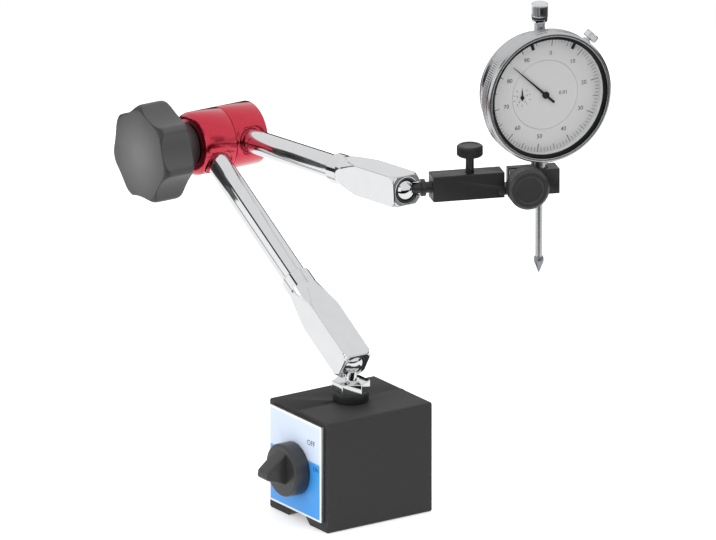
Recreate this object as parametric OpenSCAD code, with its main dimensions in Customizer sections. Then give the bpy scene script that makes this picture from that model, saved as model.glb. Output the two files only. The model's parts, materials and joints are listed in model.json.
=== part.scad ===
// Magnetic dial indicator stand
// A switchable magnet base carries two jointed arms, a clamp and a dial indicator.
// Origin at the middle of the base's underside, +Z up, the switch plate faces -Y. Millimetres.

/* [Fits] */
// Radial gap of pieces that are pressed or screwed together
fit = 0.02; // [0.01:0.01:0.05]
// Radial gap of pieces that turn or slide in each other
run = 0.05; // [0.02:0.01:0.1]
// Gap between pieces that move past each other
pass = 0.3; // [0.2:0.1:0.6]

/* [Magnet base] */
// Width of the block, across the switch plate
base_w = 50; // [46:1:70]
// Length of the block, from the switch plate to the back
base_l = 60; // [50:1:80]
// Height of the block
base_h = 55; // [52:1:75]
// Chamfer on the long edges of the block
base_chamfer = 0.8; // [0.3:0.1:2]
// Width of the V-groove at the underside
groove_w = 18; // [12:1:22]
// Thickness of the brass strips between the poles
spacer_t = 2; // [1:0.5:4]
// Radius of the round magnet
magnet_r = 13; // [10:0.5:14]
// Height of the magnet's axis
magnet_z = 27; // [25:0.5:30]
// Wall in front of and behind the magnet's ends
magnet_end_gap = 1; // [0.5:0.5:3]
// Thickness of the rear cover
cover_t = 3; // [2:0.5:5]
// How far the rear cover's rim reaches past the magnet
cover_rim = 2; // [1:0.5:4]

/* [Switch] */
// Width of the front plate
plate_w = 44; // [36:1:46]
// Height of the front plate
plate_h = 48; // [40:1:50]
// Middle of the front plate above the magnet's axis
plate_lift = 2; // [0:0.5:2]
// Thickness of the front plate
plate_t = 2.2; // [1:0.1:3]
// Radius of the switch shaft
shaft_r = 4; // [3:0.5:5]
// Depth of the flat on the front of the shaft
shaft_flat = 1; // [0.5:0.25:1.5]
// Radius of the switch knob's disc
switch_r = 13; // [10:0.5:16]
// Thickness of the switch knob's disc
switch_t = 8; // [6:0.5:10]
// How far the grip's tip stands out from the plate
grip_reach = 19; // [16:0.5:24]
// Thickness of the grip
grip_w = 9; // [7:0.5:12]
// Radius of the grip's tip
grip_tip_r = 2.6; // [2:0.1:3.5]
// How far below the axis the grip meets the disc
grip_drop = 6; // [4:0.5:8]

/* [Ball joints] */
// Radius of both balls
ball_r = 5.8; // [5:0.1:5.8]
// Radius of the neck below each ball
neck_r = 2.7; // [2.2:0.1:2.9]
// Radius of the pin that the ball turns on
pin_r = 2; // [1.5:0.1:2.1]
// Height of the black collar under the base stud
collar_h = 5; // [3:0.5:8]
// Radius of the black collar
collar_r = 8.6; // [8:0.1:11]
// Width across flats of the base stud's hexagon
hex_af = 16; // [14:0.5:18]
// Height of the hexagon
hex_h = 5; // [4:0.5:8]
// Distance from the hexagon's top to the ball's centre
neck_len = 10; // [9.5:0.5:14]
// Radius of the stud's threaded spigot
spigot_r = 5; // [4:0.5:6]
// Length of the spigot inside the block
spigot_len = 10; // [6:0.5:11]

/* [Arms] */
// Lower ball centre to hub axis
lower_len = 147.4; // [120:0.2:180]
// Rise of the lower arm above the level, in degrees
lower_tilt = 31.27; // [15:0.01:60]
// Upper ball centre to hub axis
upper_len = 143.4; // [120:0.2:180]
// Rise of the upper arm above the level, in degrees
upper_tilt = 4.2; // [-10:0.1:30]
// Outside radius of the rods
rod_r = 5.9; // [5.9:0.1:6.2]
// Inside radius of the rods
rod_bore_r = 3; // [2.8:0.1:4]
// Width of the square bar that the sleeves are turned from
sleeve_sq = 15; // [14.6:0.1:18]
// Length of a sleeve behind the ball's centre
sleeve_len = 55; // [48:1:70]
// Length of a sleeve ahead of the ball's centre
sleeve_nose = 3.8; // [3.4:0.1:4.2]
// Radius of the countersunk mouth round each ball
mouth_r = 6.2; // [5.8:0.1:6.6]
// Depth of that mouth
mouth_depth = 0.8; // [0.4:0.1:1]
// Radius of the turned end of a sleeve
sleeve_round_r = 7.4; // [7:0.1:8]
// Length of the turned end
sleeve_round_len = 8; // [4:0.5:14]
// Length of the turned cone between round and square
sleeve_cone_len = 19; // [12:0.5:26]
// Radius of the push rods inside the rods
push_r = 2.5; // [2:0.1:2.7]
// Length of a ball seat
seat_len = 9.5; // [6:0.5:14]

/* [Hub] */
// Radius of the hub
hub_r = 15.5; // [14:0.5:20]
// Length of each half of the hub
hub_len = 18; // [16:0.5:24]
// Gap at the seam between the halves
seam = 0.1; // [0.06:0.02:0.2]
// Bore through both halves
hub_bore_r = 6.5; // [6:0.1:7]
// Distance from the hub's axis to the end of a rod
rod_stop = 9; // [8.5:0.5:11]
// Radius of the flat that is faced round each rod
spot_r = 7.2; // [6.6:0.1:8]
// Depth of that flat below the hub's crown
spot_depth = 1.7; // [1:0.1:2.4]
// Outside radius of the thrust washer
washer_r = 12; // [9:0.5:13]
// Thickness of the thrust washer
washer_t = 1; // [0.6:0.1:1.6]
// Radius of the wedge bolt's shank
bolt_r = 4; // [3.5:0.1:4.2]
// Radius that each wedge gains over its length
wedge_rise = 1; // [0.6:0.1:1.4]
// Length of each wedge
wedge_len = 8; // [6:0.5:10]
// Travel of the wedge bolt when the star knob is loosened
bolt_travel = 0.8; // [0.4:0.1:1]
// Radius of the wedge bolt's head
bolt_head_r = 7; // [6:0.1:7.5]
// Height of the wedge bolt's head
bolt_head_h = 2.3; // [2:0.1:3]

/* [Star knob] */
// Number of lobes
lobes = 7; // [6:1:8]
// Reach of a lobe from the axis
lobe_reach = 25.6; // [22:0.1:30]
// Radius of a lobe's round end
lobe_r = 5.6; // [5:0.1:7]
// Radius of the hollow between lobes
hollow_r = 7; // [4:0.1:8]
// Angle of the first lobe from the level, in degrees
lobe_turn = 93; // [0:0.5:100]
// Thickness of the lobed head
star_t = 17.2; // [14:0.1:22]
// Rounding of the head's rim
star_round = 4; // [2:0.5:5]
// Radius of the boss behind the head
boss_r = 11; // [9:0.5:14]
// Length of the boss
boss_len = 11.3; // [8:0.1:16]
// Radius of the threaded insert
insert_r = 6; // [5:0.1:7]
// Length of the threaded insert
insert_len = 21; // [16:0.5:24]

/* [Holder] */
// Direction of the holder bar, turned from +X, in degrees
holder_turn = 69.2; // [40:0.1:85]
// Ball centre to the near end of the bar
bar_start = 14; // [13:0.5:18]
// Length of the bar up to the saw cut
bar_len = 35; // [32:0.5:44]
// Thickness of the bar
bar_w = 10; // [8:0.5:13]
// Height of the bar
bar_h = 12.5; // [12:0.5:15]
// Radius of the stud's collar
stud_collar_r = 4.2; // [3.5:0.1:5.5]
// Ball centre to the stud's collar
stud_collar_x = 8.9; // [8.8:0.1:10]
// Length of the stud's collar
stud_collar_len = 2; // [1:0.5:3]
// Radius of the stud's thread in the bar
stud_thread_r = 3; // [2.5:0.1:3.5]
// Length of the stud's thread in the bar
stud_thread_len = 10; // [6:0.5:11]
// Width of the saw cut
cut_w = 3; // [2:0.1:4]
// Length of the clamp block
clamp_len = 24; // [22:0.5:32]
// Saw cut to the clamp screw
clamp_screw_x = 6.5; // [6:0.5:8]
// Clamp screw to the dial's stem
clamp_stem_x = 8.5; // [8:0.5:11]
// Width of the clamp's slit
slit_w = 1.2; // [0.8:0.1:1.6]
// Radius of the hinge knuckle
knuckle_r = 2.2; // [2:0.1:2.5]
// Half the thickness of the web across the saw cut
web_half = 1.7; // [1.4:0.1:1.8]
// Web's middle below the bar's middle
web_drop = 3.4; // [3:0.1:3.6]
// Knuckle's centre back from the saw cut
knuckle_back = 1.2; // [1:0.1:1.4]
// Half the thickness of the lever in the bar
lever_half = 1.5; // [1.2:0.1:1.6]
// Width of the lever in the bar
lever_w = 4; // [3:0.5:5]
// Bar's near end to the thumbscrew
thumb_x = 19; // [17:0.5:22]
// Radius of the thumbscrew's stem
thumb_stem_r = 2; // [1.5:0.1:2.5]
// Radius of the thumbscrew's head
thumb_r = 6.25; // [5:0.25:8]
// Height of the thumbscrew's head
thumb_h = 5.4; // [4:0.1:7]
// Bar's top to the underside of the thumbscrew's head
thumb_lift = 8; // [6:0.5:10]
// Radius of the clamp knob
clamp_knob_r = 10; // [8:0.5:10.5]
// Thickness of the clamp knob's head
clamp_knob_t = 8.5; // [6:0.5:11]
// Radius of the clamp knob's boss
clamp_boss_r = 6; // [5:0.5:7]
// Length of the clamp knob's boss
clamp_boss_len = 2.5; // [1:0.5:4]
// Bevel on the clamp knob's rim
clamp_bevel = 1.2; // [0.6:0.1:2]
// Radius of the clamp screw
clamp_screw_r = 2.5; // [2:0.1:2.5]

/* [Dial indicator] */
// Direction that the dial faces, turned from -Y, in degrees
dial_turn = 80; // [40:1:120]
// Clamp's middle to the dial's centre
dial_lift = 44; // [42:0.5:52]
// Outside radius of the case
case_r = 28; // [27:0.1:29]
// Wall of the case
case_wall = 2.3; // [2:0.1:2.4]
// Step from the case out to the crystal's edge
case_step = 2.6; // [2.2:0.1:3]
// Wall of the bezel outside the crystal
bezel_wall = 1.7; // [1.6:0.1:3]
// Stem's axis to the front of the bezel
bezel_front = 12.5; // [12:0.1:14]
// Stem's axis to the back of the case's wall
case_back = 6; // [6:0.1:8]
// Thickness of the back cover
back_t = 1.6; // [1:0.1:2.4]
// Thickness of the crystal
crystal_t = 1; // [0.8:0.1:1.2]
// Width of the black seal behind the crystal
seal_w = 2.2; // [1.8:0.1:3]
// Depth of the dial's face behind the crystal
hand_room = 4.4; // [4:0.1:4.6]
// Width of the raised rim round the scale
scale_rim_w = 1.6; // [1:0.1:1.8]
// Radius of the fixed centre of the dial
centre_r = 17; // [16.8:0.1:18]
// Thickness of the scale ring
scale_t = 0.5; // [0.4:0.1:0.6]
// Angle of the pointer from the top, in degrees
pointer_turn = -47; // [-180:1:180]
// Length of the pointer
pointer_len = 23; // [20:0.5:26]
// Distance from the centre to the small hand's arbor
counter_x = 12; // [11:0.5:12]
// Length of the small hand
small_len = 3.6; // [3:0.1:4]
// Angle of the left limit hand from the top, in degrees
limit_left = -18; // [-40:1:0]
// Angle of the right limit hand from the top, in degrees
limit_right = 29; // [10:1:50]
// Half the width of a limit hand's foot
limit_half = 1.6; // [1:0.1:2]
// Radius of the stem
stem_r = 4; // [3:0.5:4.5]
// Length of the stem below the dial's centre
stem_len = 52; // [50.5:0.5:60]
// Radius of the spindle
spindle_r = 1.75; // [1.5:0.05:2]
// Travel of the spindle
travel = 10; // [5:1:10]
// Dial's centre to the tip of the contact point
tip_drop = 90.5; // [86:0.5:100]
// Length of the contact point's cone
tip_len = 6.5; // [4:0.5:8]
// Radius of the contact point
tip_r = 2.4; // [2:0.1:3]
// Radius of the dust cap
cap_r = 3.9; // [3.6:0.1:5]
// Length of the dust cap
cap_len = 9.5; // [8:0.5:12]
// Dial's centre to the top of the dust cap
cap_top = 44; // [43.5:0.5:48]
// Number of ribs round the dust cap
cap_ribs = 16; // [10:1:24]
// Angle of the bezel screw from the level, in degrees
bezel_screw_turn = 42; // [20:1:60]
// Radius of the bezel screw's head
bezel_screw_r = 3.6; // [3:0.1:4.5]
// Height of the bezel screw's head
bezel_screw_h = 3.6; // [3:0.1:5]

/* [Hidden] */
$fn = 96;
eps = 0.01;

// Base
magnet_front = -base_l / 2 + magnet_end_gap;
magnet_back = base_l / 2 - cover_t - magnet_end_gap;
plate_front = -base_l / 2 - plate_t;
switch_back = plate_front - pass;
cover_r = magnet_r + cover_rim;
grip_sink = 1;
grip_inset = 0.6;

// Ball joints and arms
hex_z = base_h + collar_h;
neck_z = hex_z + hex_h;
ball_z = neck_z + neck_len;
ball_flat = sqrt(ball_r * ball_r - neck_r * neck_r) - 0.1;
neck_gap = 0.15;
hub_x = -lower_len * cos(lower_tilt);
hub_z = ball_z + lower_len * sin(lower_tilt);
upper_ball = [hub_x + upper_len * cos(upper_tilt), hub_len, hub_z + upper_len * sin(upper_tilt)];
nose_bevel = 2.5;
mouth_angle = 60;
seat_x = 2.8;
seat_end = seat_x + seat_len;
rod_gap = 1;
wedge_mid_r = bolt_r + wedge_rise / 2;
push_gap = 0.1;

// Hub, measured along +Y from the middle of its near half
near_face = -hub_len / 2;
seam_y = hub_len / 2;
far_face = seam_y + hub_len;
far_wall_y = hub_len + wedge_len / 2 + bolt_travel + pass;
bolt_head_drop = 0.2;
bolt_seat_y = far_face - bolt_head_h - bolt_head_drop;
knob_back = near_face - 2 * seam;
star_back = knob_back - boss_len;
star_front = star_back - star_t;
insert_front = knob_back - insert_len;
lobe_orbit = lobe_reach - lobe_r;
lobe_half = 180 / lobes;
lobe_span = lobe_r + hollow_r;
hollow_orbit = lobe_orbit * cos(lobe_half) + sqrt(pow(lobe_span, 2) - pow(lobe_orbit * sin(lobe_half), 2));

// Holder, measured along the bar from the upper ball
cut_x = bar_start + bar_len;
block_x = cut_x + cut_w;
pinch_x = block_x + clamp_screw_x;
stem_x = pinch_x + clamp_stem_x;
block_end = block_x + clamp_len;
knuckle_x = cut_x - knuckle_back;
screw_x = bar_start + thumb_x;
lever_past = 1;
lever_end = screw_x - thumb_stem_r - lever_past;

// Dial indicator, with its face toward -Y
bezel_lip_t = 0.6;
bezel_lip_w = 0.4;
bezel_edge = 0.4;
bezel_slope = 1.4;
face_gap = 0.1;
crystal_r = case_r + case_step;
bezel_r = crystal_r + bezel_wall;
seal_in = crystal_r - seal_w;
crystal_front = bezel_front - bezel_lip_t;
crystal_back = crystal_front - crystal_t;
seal_t = 0.5;
scale_front = crystal_back - hand_room;
scale_back = scale_front - scale_t;
rim_front = face_gap - scale_back;
plate_drop = 0.5;
plate_y = rim_front + plate_drop;
plate_thick = 0.8;
bezel_back = stem_r + bezel_edge;
rim_back = 2 * face_gap - bezel_back;
rim_r = crystal_r + fit - run;
hand_t = 0.25;
hand_hub_t = 0.2;
pointer_lift = 0.85;
pointer_y = -(scale_front + pointer_lift);
small_y = -(scale_front + hand_hub_t);
limit_t = 0.3;
limit_in = seal_in + 1;
limit_reach = 4;
limit_y = -(crystal_back - seal_t - face_gap);
rim_top = limit_y + limit_t + face_gap;
pointer_tail = 6;
pointer_half = 0.6;
pointer_hub_r = 1.7;
small_tail = 1.4;
small_half = 0.35;
small_hub_r = 0.9;
arbor_r = 0.6;
arbor_end = plate_y + plate_thick + pass;
case_in = case_r - case_wall;
flange_w = 3;
flange_in = case_in - flange_w;
flange_t = 2;
back_screw_orbit = (case_in + flange_in) / 2;
back_screw_r = 0.8;
back_screw_head_r = 1.5;
bush_r = 2.6;
cap_base = cap_top - cap_len;
cap_lid = 1;
rib_r = 0.35;
rib_start = 2.5;
spindle_top = cap_top - cap_lid - travel - 2 * face_gap;
tip_top = tip_drop - tip_len;
tip_flat = 0.25;
tip_edge = 0.2;
tip_collar = 1.5;
bezel_boss_len = 5.5;
boss_reach = case_r + bezel_boss_len;
bezel_head_z = boss_reach + 2 * pass;
bezel_boss_r = 2.3;
bezel_boss_gap = 1.5;
bezel_boss_y = bezel_boss_r - bezel_back + bezel_boss_gap;
bezel_screw_stem_r = 1.2;

// Frames
module along_y(y = 0) translate([0, y, 0]) rotate([-90, 0, 0]) children();
module along_x(x = 0) translate([x, 0, 0]) rotate([0, 90, 0]) children();
module at_switch() translate([0, 0, magnet_z]) children();
module at_lower_ball() translate([0, 0, ball_z]) children();
module along_lower() at_lower_ball() rotate([0, lower_tilt - 180, 0]) children();
module along_upper() translate(upper_ball) rotate([0, -180 - upper_tilt, 0]) children();
module at_hub() translate([hub_x, 0, hub_z]) children();
module at_holder() translate(upper_ball) rotate([0, 0, holder_turn]) children();
module at_dial() {
    c = [stem_x * cos(holder_turn), stem_x * sin(holder_turn), dial_lift];
    translate(upper_ball + c) rotate([0, 0, dial_turn]) children();
}

// Ring or disc about the local Y axis, from y0 to y1
module disc_y(r, y0, y1) along_y(y0) cylinder(r = r, h = y1 - y0);
module ring_y(r_out, r_in, y0, y1) difference() {
    disc_y(r_out, y0, y1);
    disc_y(r_in, y0 - 1, y1 + 1);
}
// Revolve a profile of [radius, y] points about the local Y axis
module turn_y(points) along_y() rotate_extrude() polygon(points);

// Base
module block_outline() {
    w = base_w / 2;
    c = base_chamfer;
    polygon([
        [-w, c], [-w + c, 0], [-groove_w / 2, 0], [0, groove_w / 2], [groove_w / 2, 0], [w - c, 0],
        [w, c], [w, base_h - c], [w - c, base_h], [-w + c, base_h], [-w, base_h - c]
    ]);
}
module block() difference() {
    rotate([90, 0, 0]) linear_extrude(base_l, center = true) block_outline();
    at_switch() disc_y(magnet_r + run, -base_l, base_l);
    at_switch() disc_y(cover_r + fit, base_l / 2 - cover_t, base_l);
    translate([0, 0, base_h - spigot_len - 0.5]) cylinder(r = spigot_r + fit, h = spigot_len + 1);
}
module block_slice(x0, x1) intersection() {
    block();
    translate([x0, -base_l, -1]) cube([x1 - x0, 2 * base_l, base_h + 2]);
}
module pole_left() color("#2b2b2d") block_slice(-base_w, -spacer_t / 2);
module pole_right() color("#2b2b2d") block_slice(spacer_t / 2, base_w);
module pole_spacers() color("#b08d4a") block_slice(-spacer_t / 2, spacer_t / 2);
module magnet_core() color("#4a4a4e") at_switch() ring_y(magnet_r, shaft_r + fit, magnet_front, magnet_back);
module shaft_flat_cut(y0, y1, play = 0)
    translate([-shaft_r - 1, y0, shaft_r - shaft_flat + play]) cube([2 * shaft_r + 2, y1 - y0, shaft_r]);
module switch_shaft() color("#9a9ca0") at_switch() difference() {
    disc_y(shaft_r, switch_back - switch_t, base_l / 2 - cover_t / 2);
    shaft_flat_cut(switch_back - switch_t - 1, switch_back);
}
module front_plate() color("#3a86c8") difference() {
    translate([-plate_w / 2, plate_front, magnet_z + plate_lift - plate_h / 2])
        cube([plate_w, plate_t, plate_h]);
    at_switch() disc_y(shaft_r + run, plate_front - 1, 0);
}
module rear_cover() color("#2b2b2d") at_switch() difference() {
    disc_y(cover_r, base_l / 2 - cover_t, base_l / 2);
    disc_y(shaft_r + run, base_l / 2 - cover_t - 1, base_l / 2 - cover_t / 2 + pass);
}
// Side view of the grip: distance out from the plate against height above the axis
module grip_outline() {
    tip = [grip_reach - grip_tip_r, 0];
    top = [grip_sink + switch_t / 2, switch_r - grip_inset];
    slope = atan2(top[1] - tip[1], tip[0] - top[0]) - 8;
    tip_arc = [for (a = [90 - slope : -15 : -90]) tip + grip_tip_r * [cos(a), sin(a)]];
    foot = [[switch_t, -grip_drop], [grip_sink, -grip_drop]];
    polygon(concat([[grip_sink, switch_r - grip_inset], top], tip_arc, foot));
}
module switch_knob() color("#1c1c1e") at_switch() difference() {
    union() {
        disc_y(switch_r, switch_back - switch_t, switch_back);
        translate([0, plate_front, 0]) rotate([90, 0, -90]) linear_extrude(grip_w, center = true)
            grip_outline();
    }
    difference() {
        disc_y(shaft_r + fit, switch_back - switch_t - fit, switch_back + 1);
        shaft_flat_cut(switch_back - switch_t - 1, switch_back + 2, fit);
    }
}
module stud_collar() color("#222224") translate([0, 0, base_h]) difference() {
    cylinder(r = collar_r, h = collar_h);
    translate([0, 0, -1]) cylinder(r = spigot_r + fit, h = collar_h + 2);
}
module base_stud() color("#c9ccd0") {
    translate([0, 0, base_h - spigot_len]) cylinder(r = spigot_r, h = spigot_len + collar_h + eps);
    translate([0, 0, hex_z]) cylinder(d = hex_af / cos(30), h = hex_h, $fn = 6);
    translate([0, 0, neck_z - eps]) cylinder(r = neck_r, h = neck_len - ball_flat - neck_gap + eps);
    translate([0, 0, neck_z - eps]) cylinder(r = pin_r, h = neck_len + eps);
}
// Ball with its pin bore and flat toward local -Z
module joint_ball() difference() {
    sphere(r = ball_r);
    translate([0, 0, -2 * ball_r]) cylinder(r = pin_r + run, h = 2 * ball_r + pass);
    translate([-ball_r, -ball_r, -ball_flat - ball_r]) cube([2 * ball_r, 2 * ball_r, ball_r]);
}
module base_ball() color("#c9ccd0") at_lower_ball() joint_ball();

// Arms, along local +X from the ball to the hub
// Square bar turned round at the rod end, bored through, with a socket and a swing slot at the ball
module arm_sleeve(slot_turn) {
    corner_r = sleeve_sq / sqrt(2) + 0.1;
    x_round = sleeve_len - sleeve_round_len;
    x_square = x_round - sleeve_cone_len;
    slot_half = neck_r + pass + run;
    difference() {
        intersection() {
            translate([-sleeve_nose, -sleeve_sq / 2, -sleeve_sq / 2])
                cube([sleeve_nose + sleeve_len, sleeve_sq, sleeve_sq]);
            along_x() rotate_extrude() polygon([
                [0, -sleeve_nose - 1], [corner_r - nose_bevel, -sleeve_nose - 1], [corner_r, 0],
                [corner_r, x_square],
                [sleeve_round_r, x_round], [sleeve_round_r, sleeve_len + 1], [0, sleeve_len + 1]
            ]);
        }
        sphere(r = ball_r + run);
        along_x(-sleeve_nose - eps) cylinder(
            r1 = mouth_r, r2 = mouth_r - mouth_depth * tan(mouth_angle), h = mouth_depth
        );
        along_x() cylinder(r = rod_r + fit, h = sleeve_len + 2);
        rotate([slot_turn, 0, 0]) {
            cylinder(r = slot_half, h = sleeve_sq);
            translate([-sleeve_nose - 1, -slot_half, 0]) cube([sleeve_nose + 1, 2 * slot_half, sleeve_sq]);
        }
    }
}
module arm_rod(len) along_x(seat_end + rod_gap) difference() {
    cylinder(r = rod_r, h = len - rod_stop - seat_end - rod_gap);
    translate([0, 0, -1]) cylinder(r = rod_bore_r, h = len);
}
module arm_push_rod(len) {
    tip_x = len - wedge_mid_r - push_gap - push_r;
    along_x(seat_end) cylinder(r = push_r, h = tip_x - seat_end);
    translate([tip_x, 0, 0]) sphere(r = push_r);
}
module arm_ball_seat() difference() {
    along_x(seat_x) cylinder(r = rod_r, h = seat_len);
    sphere(r = ball_r + run);
}
// Blind hole for a rod, with a faced flat at its mouth and a way through for the push rod
module rod_socket(len) {
    along_x(len - hub_r - 2) cylinder(r = spot_r, h = 2 + spot_depth);
    along_x(len - hub_r - 2) cylinder(r = rod_r + fit, h = hub_r + 2 - rod_stop);
    along_x(len - rod_stop - 1) cylinder(r = rod_bore_r, h = rod_stop + 1);
}
module lower_sleeve() color("#d4d6d9") along_lower() arm_sleeve(0);
module lower_rod() color("#d4d6d9") along_lower() arm_rod(lower_len);
module lower_push_rod() color("#8d9095") along_lower() arm_push_rod(lower_len);
module lower_ball_seat() color("#b08d4a") along_lower() arm_ball_seat();
module upper_sleeve() color("#d4d6d9") along_upper() arm_sleeve(-90);
module upper_rod() color("#d4d6d9") along_upper() arm_rod(upper_len);
module upper_push_rod() color("#8d9095") along_upper() arm_push_rod(upper_len);
module upper_ball_seat() color("#b08d4a") along_upper() arm_ball_seat();

// Hub
module hub_near() color("#b3122e") difference() {
    at_hub() difference() {
        disc_y(hub_r, near_face, seam_y - seam / 2);
        disc_y(hub_bore_r, near_face - 1, seam_y + 1);
        disc_y(washer_r + fit, seam_y - washer_t / 2, seam_y + 1);
    }
    along_lower() rod_socket(lower_len);
}
module hub_far() color("#b3122e") difference() {
    at_hub() difference() {
        disc_y(hub_r, seam_y + seam / 2, far_face);
        disc_y(hub_bore_r, seam_y - 1, far_wall_y);
        disc_y(bolt_r + run, seam_y, far_face + 1);
        disc_y(washer_r + run, seam_y - 1, seam_y + washer_t / 2 + run);
        disc_y(bolt_head_r + run, bolt_seat_y, far_face + 1);
    }
    along_upper() rod_socket(upper_len);
}
module thrust_washer() color("#b08d4a") at_hub()
    ring_y(washer_r, hub_bore_r + fit, seam_y - washer_t / 2, seam_y + washer_t / 2);
module wedge_bolt() color("#8d9095") at_hub() {
    turn_y([[0, insert_front], [bolt_r, insert_front], [bolt_r, bolt_seat_y + run], [0, bolt_seat_y + run]]);
    for (y = [0, hub_len]) turn_y([
        [0, y - wedge_len / 2], [bolt_r, y - wedge_len / 2], [bolt_r + wedge_rise, y + wedge_len / 2],
        [0, y + wedge_len / 2]
    ]);
    disc_y(bolt_head_r, bolt_seat_y + run, bolt_seat_y + run + bolt_head_h);
}
// Lobes and the hollows between them run into each other along true arcs
module star_outline() difference() {
    union() {
        for (k = [0 : lobes - 1]) rotate(k * 2 * lobe_half) translate([lobe_orbit, 0]) circle(r = lobe_r);
        polygon([for (k = [0 : 2 * lobes - 1])
            (k % 2 == 0 ? lobe_orbit : hollow_orbit) * [cos(k * lobe_half), sin(k * lobe_half)]]);
    }
    for (k = [0 : lobes - 1])
        rotate((2 * k + 1) * lobe_half) translate([hollow_orbit, 0]) circle(r = hollow_r);
}
// Half section of a disc with a round rim
module round_rim(r, t, e) {
    square([r - e, t]);
    translate([0, e]) square([r, t - 2 * e]);
    for (y = [e, t - e]) translate([r - e, y]) circle(r = e, $fn = 48);
}
module star_knob() color("#1c1c1e") at_hub() difference() {
    union() {
        intersection() {
            along_y(star_front) rotate_extrude() intersection() {
                round_rim(lobe_reach, star_t, star_round);
                square([lobe_reach, star_t]);
            }
            along_y(star_front) rotate(-lobe_turn) linear_extrude(star_t) star_outline();
        }
        disc_y(boss_r, star_back - eps, knob_back);
    }
    disc_y(insert_r + fit, insert_front, knob_back + 1);
}
module knob_insert() color("#b08d4a") at_hub() ring_y(insert_r, bolt_r + run, insert_front, knob_back);

// Holder, along local +X from the upper ball
module holder_ball() color("#c9ccd0") at_holder() rotate([0, -90, 0]) joint_ball();
module holder_stud() color("#1c1c1e") at_holder() {
    along_x() cylinder(r = pin_r, h = bar_start);
    along_x(ball_flat + neck_gap) cylinder(r = neck_r, h = bar_start - ball_flat - neck_gap + eps);
    along_x(stud_collar_x) cylinder(r = stud_collar_r, h = stud_collar_len);
    along_x(bar_start) cylinder(r = stud_thread_r, h = stud_thread_len);
}
module holder_bar() color("#1c1c1e") at_holder() difference() {
    translate([bar_start, -bar_w / 2, -bar_h / 2]) cube([bar_len, bar_w, bar_h]);
    along_x(bar_start - 1) cylinder(r = stud_thread_r + fit, h = stud_thread_len + 1.5);
    translate([screw_x, 0, -web_drop]) cylinder(r = thumb_stem_r + run, h = bar_h);
    translate([lever_end - 1, -lever_w / 2 - pass, -bar_h / 2 - 1])
        cube([knuckle_x - lever_end + 1, lever_w + 2 * pass, bar_h / 2 + 1 - web_drop + lever_half + pass]);
    translate([knuckle_x, 0, -web_drop]) disc_y(knuckle_r + run, -bar_w, bar_w);
}
// Clamp with its slit, web, knuckle and lever, all one piece
module clamp_block() color("#1c1c1e") at_holder() {
    difference() {
        translate([block_x, -bar_w / 2, -bar_h / 2]) cube([clamp_len, bar_w, bar_h]);
        translate([stem_x, 0, -bar_h]) cylinder(r = stem_r + run, h = 2 * bar_h);
        translate([block_x - 1, -slit_w / 2, -bar_h]) cube([stem_x - block_x + 1, slit_w, 2 * bar_h]);
        translate([pinch_x, 0, 0]) disc_y(clamp_screw_r + run, -bar_w, bar_w);
    }
    translate([knuckle_x, -bar_w / 2, -web_drop - web_half])
        cube([block_x - knuckle_x + eps, bar_w, 2 * web_half]);
    translate([knuckle_x, 0, -web_drop]) disc_y(knuckle_r, -bar_w / 2, bar_w / 2);
    translate([lever_end, -lever_w / 2, -web_drop - lever_half])
        cube([knuckle_x - lever_end, lever_w, 2 * lever_half]);
}
module fine_screw() color("#1c1c1e") at_holder() translate([screw_x, 0, 0]) {
    stem_z = -web_drop + lever_half + run;
    head_z = bar_h / 2 + thumb_lift;
    translate([0, 0, stem_z]) cylinder(r = thumb_stem_r, h = head_z - stem_z + eps);
    translate([0, 0, head_z]) cylinder(r = thumb_r, h = thumb_h);
}
module clamp_screw() color("#8d9095") at_holder() translate([pinch_x, 0, 0])
    disc_y(clamp_screw_r, -bar_w / 2 - clamp_boss_len - clamp_knob_t / 2, bar_w / 2 + 1);
module clamp_knob() color("#1c1c1e") at_holder() translate([pinch_x, -bar_w / 2 - pass, 0]) difference() {
    turn_y([
        [0, -clamp_boss_len - clamp_knob_t], [clamp_knob_r - clamp_bevel, -clamp_boss_len - clamp_knob_t],
        [clamp_knob_r, -clamp_boss_len - clamp_knob_t + clamp_bevel], [clamp_knob_r, -clamp_boss_len],
        [clamp_boss_r, -clamp_boss_len], [clamp_boss_r, 0], [0, 0]
    ]);
    disc_y(clamp_screw_r + fit, -clamp_boss_len - clamp_knob_t / 2 + pass, 1);
}

// Dial indicator
module dial_case() color("#c4c6c9") at_dial() difference() {
    union() {
        turn_y([
            [case_in, rim_front], [rim_r, rim_front], [rim_r, rim_back], [case_r, rim_back],
            [case_r, case_back], [flange_in, case_back],
            [flange_in, case_back - flange_t], [case_in, case_back - flange_t]
        ]);
        rotate([0, 90 - bezel_screw_turn, 0]) translate([0, bezel_boss_y, case_r - 1])
            cylinder(r = bezel_boss_r, h = boss_reach - case_r + 1);
    }
    translate([0, 0, -case_r - 2]) cylinder(r = stem_r + fit, h = case_wall + 4);
    translate([0, 0, case_in - 2]) cylinder(r = bush_r + fit, h = case_wall + 4);
    rotate([0, 90 - bezel_screw_turn, 0]) translate([0, bezel_boss_y, case_in - 2])
        cylinder(r = bezel_screw_stem_r + run, h = case_r);
    back_screw_places() disc_y(back_screw_r + fit, 0, case_back + 1);
}
module back_screw_places() for (a = [45 : 90 : 315])
    rotate([0, a, 0]) translate([0, 0, back_screw_orbit]) children();
module back_cover() color("#b6b8bb") at_dial() difference() {
    disc_y(case_r, case_back, case_back + back_t);
    back_screw_places() disc_y(back_screw_r + fit, 0, case_back + back_t + 1);
}
module back_screws() color("#8d9095") at_dial() back_screw_places() {
    disc_y(back_screw_r, case_back - flange_t, case_back + back_t + eps);
    disc_y(back_screw_head_r, case_back + back_t, case_back + back_t + back_screw_r);
}
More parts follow.
